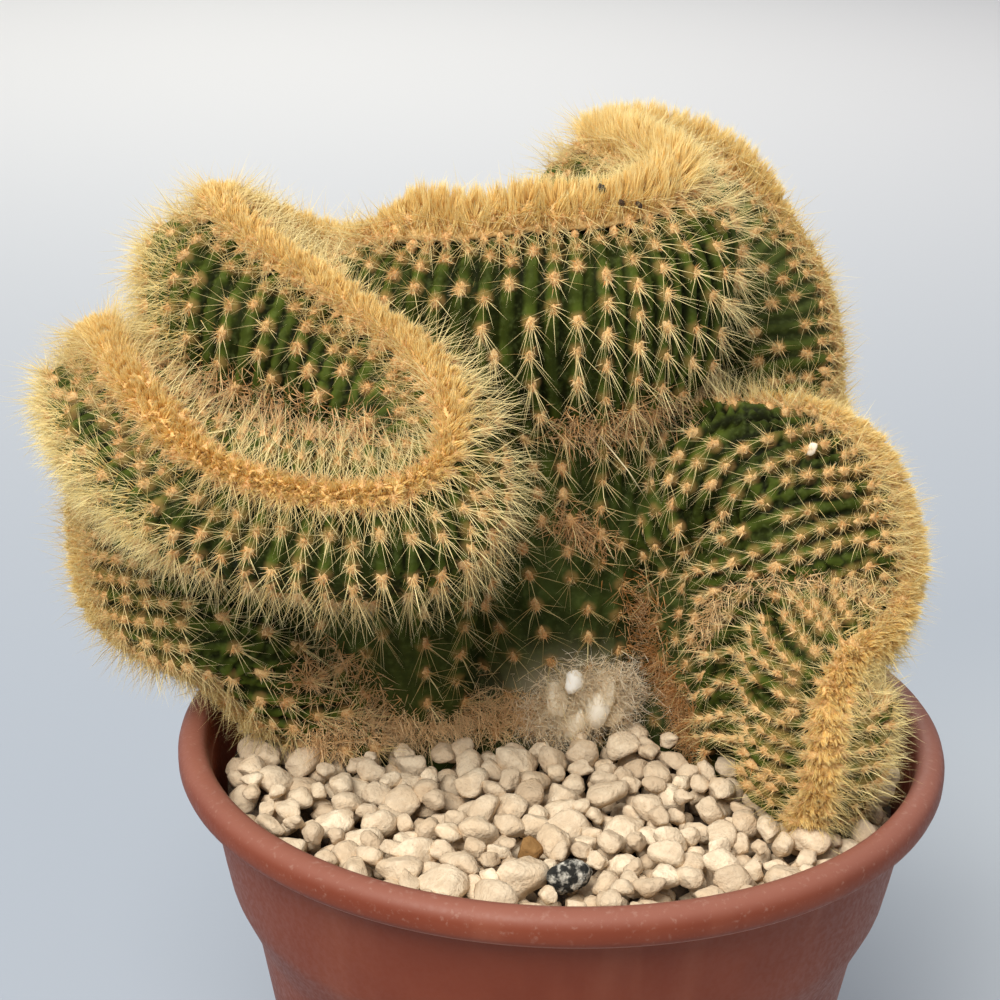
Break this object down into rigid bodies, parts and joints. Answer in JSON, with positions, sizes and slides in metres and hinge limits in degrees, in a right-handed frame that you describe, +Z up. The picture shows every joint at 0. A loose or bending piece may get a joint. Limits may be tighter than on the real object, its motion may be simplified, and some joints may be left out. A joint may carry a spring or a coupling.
{
  "type": "potted crested vatricania",
  "caption": "Crested columnar cactus: a thick folded fan of spiny green flesh edged with golden wool, in a round plastic nursery pot dressed with pumice gravel.",
  "frame": {"origin": "middle of the pot's underside, on the surface it stands on", "axes": "+Z up along the pot's axis; the pictured front faces -Y; +X is the viewer's right in that view"},
  "size_m": [0.1706, 0.1438, 0.2181],
  "materials": {
    "pot": "satin terracotta-brown plastic with fine scuffs",
    "soil": "matte dark peat mix",
    "gravel": "matte pale pumice",
    "cactus": "green ribbed skin under straw-coloured spines",
    "crest_wool": "matte golden felt",
    "dark_pebble": "matte grey-black stone",
    "ochre_pebble": "matte ochre stone"
  },
  "bodies": {
    "root": {"pot": "pot", "soil": "soil", "gravel": "gravel", "cactus": "cactus", "crest_wool": "crest_wool", "dark_pebble": "dark_pebble", "ochre_pebble": "ochre_pebble"}
  },
  "joints": []
}
